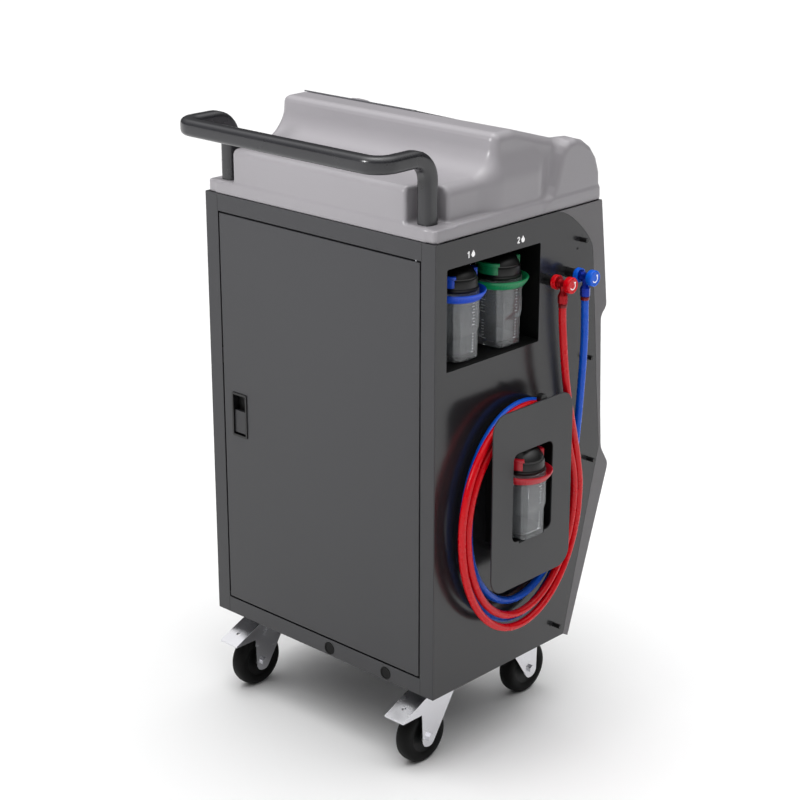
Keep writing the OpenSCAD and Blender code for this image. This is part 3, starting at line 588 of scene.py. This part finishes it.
# ------------------------------------------------------------------ sheet metal and plain CAD parts with rounded edges
for n, bv in (("hose_side_panel", 0.5), ("plain_side_panel", 0.5), ("rear_frame", 0.5), ("door_panel", 0.7), ("hanger_plate", 1.0), ("base_pan", 0.5),
              ("bottle_niche", 0.6), ("bottle_cradle", 0.5), ("latch_housing", 0.7), ("latch_paddle", 1.0), ("display_bezel", 0.6), ("display_glass", 0.3),
              ("panel_pegs", 0.8), ("hose_pegs", 1.0), ("power_inlet", 0.5), ("rocker_switch", 0.4), ("caster_plates", 0.6), ("caster_bolts", 0.5), ("parking_posts", 0.5),
              ("hose_fittings", 0.5), ("control_box", 1.5), ("weigh_scale", 1.0), ("compressor", 1.5), ("vacuum_pump", 2.5), ("magnet_catch", 0.8),
              ("refrigerant_tank", 0.8), ("filter_drier", 0.6), ("condenser", 0.3), ("fan_rotor", 0.4), ("door_pivots", 0.4)):
    remake(n, bv)
CASTERS = {"rear_hose": (59, -75, 1), "rear_plain": (471, -75, 1), "front_hose": (95, -303, -1), "front_plain": (435, -303, -1)}
TYRE = [(30.4, -12.2), (33, -13.8), (38, -14.8), (42, -14.9), (45.5, -13.6), (48.2, -10.5), (49.6, -6), (50, 0), (49.6, 6), (48.2, 10.5), (45.5, 13.6), (42, 14.9),
        (38, 14.8), (33, 13.8), (30.4, 12.2), (30.4, -12.2)]
HUB = [(4.2, -16.9), (10.4, -16.9), (11, -16.3), (11, -11.8), (12.2, -10.8), (27.5, -10.6), (30.6, -11.9), (30.6, 11.9), (27.5, 10.6), (12.2, 10.8), (11, 11.8), (11, 16.3),
       (10.4, 16.9), (4.2, 16.9), (4.2, -16.9)]
for k, (cx, cy, d) in CASTERS.items():
    remake("fork_" + k, 0.5)
    c = (cx, cy + 42 * d, -95)
    piece("tyre_" + k, lathe(TYRE, c, "x", 72), "tyre", "wheel_" + k, ("wheel_" + k,))
    piece("hub_" + k, lathe(HUB, c, "x", 72, lambda a, i: 1 - 0.06 * (i in (5, 8)) * (math.cos(5 * a) > 0)), "hub", "wheel_" + k)


# ------------------------------------------------------------------ flat marks
def ribbon(path, w, put, t=0.3):
    """A flat band of width w along (s, t) points. put(s, t, h) gives a point of the cabinet frame at height h."""
    P = [Vector((q[0], q[1], 0)) for q in path]
    verts = []
    for i, q in enumerate(P):
        d = (P[min(i + 1, len(P) - 1)] - P[max(i - 1, 0)]).normalized()
        m = Vector((-d.y, d.x, 0)) * (w / 2)
        for a, h in ((q + m, t), (q - m, t), (q - m, 0), (q + m, 0)):
            verts.append(put(a.x, a.y, h))
    return from_lists(verts, ring_faces(len(P), 4) + [(0, 1, 2, 3), tuple(range(4 * len(P) - 4, 4 * len(P)))])


def shape(outline, put, t=0.3):
    """A flat plate with a closed outline of (s, t) points."""
    n = len(outline)
    verts = [put(a, b, t) for a, b in outline] + [put(a, b, 0) for a, b in outline]
    return from_lists(verts, [tuple(range(n)), tuple(range(n, 2 * n))] + [(k, (k + 1) % n, n + (k + 1) % n, n + k) for k in range(n)])


def arc_points(cx, cy, r, a0, a1, n):
    return [(cx + r * math.cos(math.radians(a0 + (a1 - a0) * k / n)), cy + r * math.sin(math.radians(a0 + (a1 - a0) * k / n))) for k in range(n + 1)]


def on_side(y, z):
    return lambda s, t, h: (-h - 0.02, y - s, z + t)


DROP = [(14.5, 11.2)] + arc_points(14.5, 4.2, 4.1, 35, -215, 22)
ONE = [(0.8, 8.2), (3.6, 10.8), (5.4, 10.8), (5.4, 0.2), (3.4, 0.2), (3.4, 8.0), (1.9, 6.8)]
TWO = arc_points(3.6, 7.7, 2.3, 170, -30, 12) + [(1.3, 1.3), (1.3, 1.1), (6.6, 1.1)]
# the numerals and drops use the white print with its painted glow
piece("mark_one", join(shape(ONE, on_side(-73, 745.5)), shape(DROP, on_side(-73, 745.5))), "white", "cabinet")
piece("mark_two", join(ribbon(TWO, 1.9, on_side(-194, 745.5)), shape(DROP, on_side(-194, 745.5))), "white", "cabinet")

# ------------------------------------------------------------------ small things on the cabinet
# a near-black cup with a rounded rim in each of the rear rail's two holes: the rim rounds the hole's edge, the fill is
# painted shade for the open hole
HOLE_SHADE_CUP = [(0.4, -3.2), (7.6, -3.2), (8.4, -2.2), (8.4, 0.1), (8.9, 0.8), (9.8, 1.1), (11, 1.0), (11.5, 0.5), (11.4, 0.08), (10.1, 0.08)]
for i, x in enumerate((243.5, 108.8)):
    piece("rail_hole_shade_%d" % (i + 1), lathe(HOLE_SHADE_CUP, (x, 0, 13), "y", 40), "niche", "cabinet")
SCREW = [(0.3, -0.7), (0.8, -0.7), (1.0, -1.2), (1.7, -0.9), (2.1, -0.4), (2.2, -0.02)]
for i, (y, z) in enumerate(((-351.3, 706.9), (-307.3, 29.9))):
    piece("panel_screw_%d" % (i + 1), lathe(SCREW, (0, y, z), "x", 20), "black", "cabinet")
seams = [block((x - 0.35, -0.4, z0), (x + 0.35, 0.05, z1), 0.05, 1) for x in (29.2, 500.8) for z0, z1 in ((751, 779), (1, 29))]
seams.append(block((0.4, -0.4, 0.6), (0.9, 0.04, 779), 0.05, 1))
piece("post_seams", join(*seams), "seam", "cabinet")


# ------------------------------------------------------------------ bottles
def jar_shape(a):
    """A square jar with wide chamfers."""
    d1 = (a + math.pi / 4) % (math.pi / 2) - math.pi / 4
    d2 = a % (math.pi / 2) - math.pi / 4
    return min(30.8 / math.cos(d1), 37.8 / math.cos(d2)) / 34


JAR = [(0.5, 0), (25, 0), (29, 1.0), (31.2, 3.6), (31.8, 40), (31.4, 47), (31.8, 49), (33.2, 54.5), (34, 58), (34, 97), (34, 101.2), (37.7, 101.6), (37.7, 116.2), (34.7, 116.3),
       (34.7, 104), (31.4, 100), (31.2, 58), (30.4, 54.5), (28.8, 48), (28.9, 40), (28.2, 14), (25, 10), (0.5, 9)]
LID = [(0.5, 116.7), (36.6, 116.7), (36.8, 117.4), (36.8, 120.4), (36.2, 121.4), (35, 121.8), (35, 122.6), (35.3, 123.2), (35, 134), (34.4, 136), (33, 136.8), (33, 137.8),
       (33.2, 138.6), (31.5, 142.5), (28, 147.5), (22.5, 152.2), (15.5, 155.8), (8, 157.9), (0.5, 158.5)]
RING = [(38.25, 102.3), (40.6, 102), (41.4, 102.5), (44.8, 107.2), (47.4, 111), (48.6, 112.6), (49, 113.8), (49, 115.2), (48.6, 115.9), (47.6, 116.05), (46.8, 115.8), (43.4, 110.6),
        (40.4, 105.6), (38.25, 105.3), (38.25, 102.3)]


def arc_block(c, r0, r1, a0, a1, z0, z1, n=10, bevel=0.8):
    bm = bmesh.new()
    rows = []
    for k in range(n + 1):
        a = math.radians(a0 + (a1 - a0) * k / n)
        rows.append([bm.verts.new(at((c[0] + r * math.cos(a), c[1] + r * math.sin(a), c[2] + z))) for r, z in ((r0, z0), (r1, z0), (r1, z1), (r0, z1))])
    for u, v in zip(rows, rows[1:]):
        for k in range(4):
            bm.faces.new((u[k], u[(k + 1) % 4], v[(k + 1) % 4], v[k]))
    bm.faces.new(rows[0])
    bm.faces.new(rows[-1])
    bmesh.ops.recalc_face_normals(bm, faces=bm.faces)
    ed = [e for e in bm.edges if e.calc_face_angle(0.0) > 0.6]
    bmesh.ops.bevel(bm, geom=ed, offset=bevel / 1000, segments=2, profile=0.5, affect="EDGES", clamp_overlap=True)
    return bm


for k, c, body, ring_body in (("blue", (40, -92.5, 569.4), "blue_bottle", "blue_ring"), ("green", (40, -197.5, 569.4), "green_bottle", "green_ring"),
                              ("red", (-30, -186, 254), "cabinet", "red_ring")):
    n = k + "_bottle_"
    rows = [1.0 if z < 101.4 else 0.0 for r, z in JAR]
    piece(n + "jar_clear", lathe(JAR, c, "z", 160, lambda a, i: 1 + (jar_shape(a) - 1) * rows[i]), "jar", body, (n + "jar",), angle=20)
    piece(n + "lid_cap", lathe(LID, c, "z", 72), "lid", body, (n + "lid",), angle=28)
    piece(n + "clip", join(arc_block(c, 33.5, 39.4, 50, 128, 126, 142), arc_block(c, 33.5, 40.2, 50, 132, 140, 145.5), arc_block(c, 28, 34.6, 232, 262, 135, 149)),
          "ring_" + k, body)
    piece(n + "ring_band", lathe(RING, c, "z", 240, lambda a, i: 1 + 0.013 * (i in (3, 4)) * (int(a / (2 * math.pi) * 120 + 1e-6) % 2)), "ring_" + k, ring_body,
          (n + "ring",), angle=40)
    ticks = []
    for z in list(range(14, 46, 5)) + list(range(60, 97, 5)):
        ap = 30.8 * ((31.3 + 0.5 * z / 40) if z < 50 else 34) / 34
        w = 9 if z % 10 == 0 or z == 14 else 5
        ticks.append(block((c[0] + 11 - w, c[1] + ap - 0.1, c[2] + z), (c[0] + 11, c[1] + ap + 0.18, c[2] + z + 0.9), 0.05, 1))
        ticks.append(block((c[0] - ap - 0.18, c[1] - 11, c[2] + z), (c[0] - ap + 0.1, c[1] - 11 + w * 0.7, c[2] + z + 0.9), 0.05, 1))
    piece(n + "scale", join(*ticks), "tick", body)

# ------------------------------------------------------------------ couplers
COLLAR = [(9.12, -19), (11.3, -19), (12, -19.4), (12.2, -20.1), (12.2, -22.0), (11.5, -22.5), (11.5, -23.3), (12.2, -23.8), (12.2, -27), (11.9, -27.7), (11.2, -28), (10.2, -28),
          (9.9, -27), (9.12, -26.8), (9.12, -19)]
KNOB = [(5.1, -46.4), (12.4, -46.4), (13.2, -46.8), (13.6, -47.6), (13.6, -55.4), (13.3, -56.6), (12.6, -57.4), (11.6, -57.8), (11, -57.75), (10.6, -57.3), (10.2, -57.0), (0.4, -56.9)]
SLEEVE = [(5.3, -18.6), (8.6, -18.6), (9, -19), (9, -31), (8.6, -31.2), (6.9, -31.3), (6.6, -31.8), (6.6, -34), (6.2, -34.6), (6.2, -42), (6.6, -42.6), (6.6, -45.6), (5, -45.8), (5, -55)]
NUT = [(0.4, 637.1), (7.6, 637.1), (8.6, 638.4), (8.6, 651.5), (5.9, 656.6), (5.4, 658), (5.4, 668), (0.4, 668)]
CRIMP = [(6.55, 630.8), (7.1, 631), (7.4, 631.6), (7.4, 636.2), (7.1, 636.8), (6.55, 637), (6.55, 630.8)]
for k, y in (("red", -269), ("blue", -327.5)):
    n = k + "_coupler_"
    c = (0, y, 671)
    body = piece(n + "core", join(lathe(SLEEVE, c, "x", 48), lathe(NUT, (-37, y, 0), "z", 8)), k + "_metal", "cabinet", (n + "body",), angle=25)
    crimp = piece(n + "crimp", lathe(CRIMP, (-37, y, 0), "z", 36), "crimp_red", "cabinet")
    collar = piece(n + "sleeve", lathe(COLLAR, c, "x", 56), k, k + "_collar", (n + "collar",))
    knob = piece(n + "grip", lathe(KNOB, c, "x", 64), k, k + "_knob", (n + "knob",))

    def face(s, t, h, y=y):
        return (-56.92 - h, y - s, 671 + t)

    # the knob's arc mark uses the white print with its painted glow
    mark = piece(n + "mark", join(ribbon(arc_points(0, 0, 6.2, -150, 40, 20), 1.7, face, 0.15), shape([(7.4, 5.6), (2.2, 6.0), (6.2, 1.6)], face, 0.15)), "white", k + "_knob")

# ------------------------------------------------------------------ front fascia: one moulding with rounded bends
SIDE = [(-343.6, 0), (-428.6, 335), (-415.6, 455), (-408.6, 540), (-393.6, 696), (-390.6, 708), (-384.6, 718), (-368.6, 736), (-350.6, 752), (-334.6, 764), (-318.6, 773), (-302, 779)]
FRONT = rounded([(-358, -8), (-456, 288), (-456, 298), (-436, 330), (-431, 400), (-423, 575), (-438, 588), (-426, 690), (-415, 779)], 9, 5)
INNER = [(a + 3.5, min(b + 2, 779)) for a, b in FRONT]


def prism(outline, x0, x1, bevel=0.0, edges=None):
    """An outline of (y, z) points drawn out along x; edges picks which outline points' rims are rounded."""
    n = len(outline)
    bm = from_lists([(x0, a, b) for a, b in outline] + [(x1, a, b) for a, b in outline],
                    [tuple(range(n)), tuple(range(n, 2 * n))] + [(k, (k + 1) % n, n + (k + 1) % n, n + k) for k in range(n)])
    bmesh.ops.recalc_face_normals(bm, faces=bm.faces)
    if bevel:
        bm.verts.ensure_lookup_table()
        ed = [e for e in bm.edges if edges(e.verts[0].index) and edges(e.verts[1].index) and abs(e.verts[0].index - e.verts[1].index) == 1]
        bmesh.ops.bevel(bm, geom=ed, offset=bevel / 1000, segments=3, profile=0.5, affect="EDGES", clamp_overlap=True)
    return bm


END = SIDE + FRONT[::-1]
ns, ne = len(SIDE), len(END)
cheek_a = prism(END, 0, 3, 2.0, lambda i: ns <= i < ne)
cheek_b = prism(END, 527, 530, 2.0, lambda i: ne + ns <= i < 2 * ne)
skin = prism(FRONT + INNER[::-1], 2.3, 527.7)
piece("fascia_moulding", join(cheek_a, cheek_b, skin), "fascia", "cabinet", ("front_fascia",), flat=True)


def on_front(z):
    """The moulding's face at a height, as (y, slope)."""
    pts = [(-358, -8), (-456, 288), (-456, 298), (-436, 330), (-431, 400), (-423, 575), (-438, 588), (-426, 690), (-415, 779)]
    for (a, b), (c, d) in zip(pts, pts[1:]):
        if b <= z <= d:
            return a + (c - a) * (z - b) / (d - b), (c - a) / (d - b)


# each vent slot is a near-black strip laid on the moulding's face under its hood: painted shade for the open slot
vent_shades, hoods = [], []
for i in range(10):
    z = 60 + 16 * i
    y0, sl = on_front(z)
    y1, _ = on_front(z + 6)
    vent_shades.append(prism([(y0 + 2, z), (y0 - 0.25, z), (y1 - 0.25, z + 6), (y1 + 2, z + 6)], 150, 380))
    yh, _ = on_front(z + 9)
    hoods.append(prism(rounded([(y1 + 1, z + 6), (y1 - 3.2, z + 4.8), (y1 - 3.6, z + 6), (yh + 0.5, z + 9.6), (yh + 1, z + 9.6)], 0.8, 3), 148, 382))
piece("front_vent_shades", join(*vent_shades), "niche", "cabinet")
piece("front_vent_hoods", join(*hoods), "fascia", "cabinet", flat=True)
field = []
for z0, z1 in ((420, 555),):
    rim = [(70, z0), (460, z0), (460, z1), (70, z1)]

    def on_field(s, t, h):
        return (s, on_front(t)[0] - h + 0.05, t)

    path = arc_points(82, 432, 12, 180, 270, 6) + arc_points(448, 432, 12, 270, 360, 6) + arc_points(448, 543, 12, 0, 90, 6) + arc_points(82, 543, 12, 90, 180, 6)
    field.append(ribbon(path + path[:2], 2.4, on_field, 0.9))
piece("front_field_rim", join(*field), "fascia", "cabinet")

# ------------------------------------------------------------------ what the display shows
TILT = math.atan2(36.5, 126)


def on_glass(s, t, h):
    h += 1.93
    return (s, -214 + t * math.cos(TILT) - h * math.sin(TILT), 923.5 + t * math.sin(TILT) + h * math.cos(TILT))


def bars(rows, mat, name):
    piece(name, join(*[shape([(a, b), (c, b), (c, d), (a, d)], on_glass, 0.03) for a, b, c, d in rows]), mat, "cabinet")


piece("gauge_low", join(ribbon(arc_points(300, -62, 26, -40, 220, 28), 4, on_glass, 0.03), ribbon([(300, -62), (284, -48)], 1.6, on_glass, 0.05)), "ui_blue", "cabinet")
piece("gauge_high", join(ribbon(arc_points(370, -62, 26, -40, 220, 28), 4, on_glass, 0.03), ribbon([(370, -62), (384, -46)], 1.6, on_glass, 0.05)), "ui_red", "cabinet")
bars([(262, -104, 330, -97), (340, -104, 408, -97)] + [(415, -30 - 14 * i, 482 - 9 * (i % 3), -24 - 14 * i) for i in range(6)], "ui_grey", "display_bars")

# ------------------------------------------------------------------ floor and light
me = bpy.data.meshes.new("floor")
me.from_pydata([(-40, -40, 0), (40, -40, 0), (40, 40, 0), (-40, 40, 0)], [], [(0, 1, 2, 3)])
floor = bpy.data.objects.new("floor", me)
scene.collection.objects.link(floor)
fm = bpy.data.materials.new("floor_white")
fm.use_nodes = True
fb = fm.node_tree.nodes["Principled BSDF"]
fb.inputs["Base Color"].default_value = (0.93, 0.93, 0.93, 1)
fb.inputs["Roughness"].default_value = 0.7
fb.inputs["Specular IOR Level"].default_value = 0.1
me.materials.append(fm)

# a dome that is bright overhead and dim at the horizon
world = bpy.data.worlds.new("studio")
scene.world = world
world.use_nodes = True
wt = world.node_tree
bg = wt.nodes["Background"]
bg.inputs["Color"].default_value = (1, 1, 1, 1)
wc = wt.nodes.new("ShaderNodeTexCoord")
ws = wt.nodes.new("ShaderNodeSeparateXYZ")
up = wt.nodes.new("ShaderNodeMath")
up.operation = "MAXIMUM"
up.inputs[1].default_value = 0.0
curve = wt.nodes.new("ShaderNodeMath")
curve.operation = "POWER"
curve.inputs[1].default_value = 3.5
gain = wt.nodes.new("ShaderNodeMath")
gain.operation = "MULTIPLY_ADD"
gain.inputs[1].default_value = 3.2
gain.inputs[2].default_value = 0.02
wt.links.new(wc.outputs["Generated"], ws.inputs["Vector"])
wt.links.new(ws.outputs["Z"], up.inputs[0])
wt.links.new(up.outputs["Value"], curve.inputs[0])
wt.links.new(curve.outputs["Value"], gain.inputs[0])
wt.links.new(gain.outputs["Value"], bg.inputs["Strength"])


def area(name, loc, target, size, power, colour=(1, 1, 1)):
    L = bpy.data.lights.new(name, "AREA")
    L.shape = "RECTANGLE"
    L.size, L.size_y = size
    L.energy = power
    L.color = colour
    o = bpy.data.objects.new(name, L)
    scene.collection.objects.link(o)
    o.location = loc
    o.rotation_euler = (Vector(target) - Vector(loc)).to_track_quat("-Z", "Y").to_euler()
    return o


area("key_soft", (0.2, 0.35, 3.4), (0, -0.05, 0.9), (1.0, 1.0), 10)
# a soft spot from the rear on the tray and the handle
spot = bpy.data.lights.new("rear_spot", "SPOT")
spot.energy = 290
spot.spot_size = math.radians(25)
spot.spot_blend = 0.9
spot.shadow_soft_size = 0.3
lamp = bpy.data.objects.new("rear_spot", spot)
scene.collection.objects.link(lamp)
lamp.location = (0.7, 3.2, 2.1)
lamp.rotation_euler = (Vector((0, -0.05, 1.04)) - Vector(lamp.location)).to_track_quat("-Z", "Y").to_euler()
scene.view_settings.view_transform = "Standard"
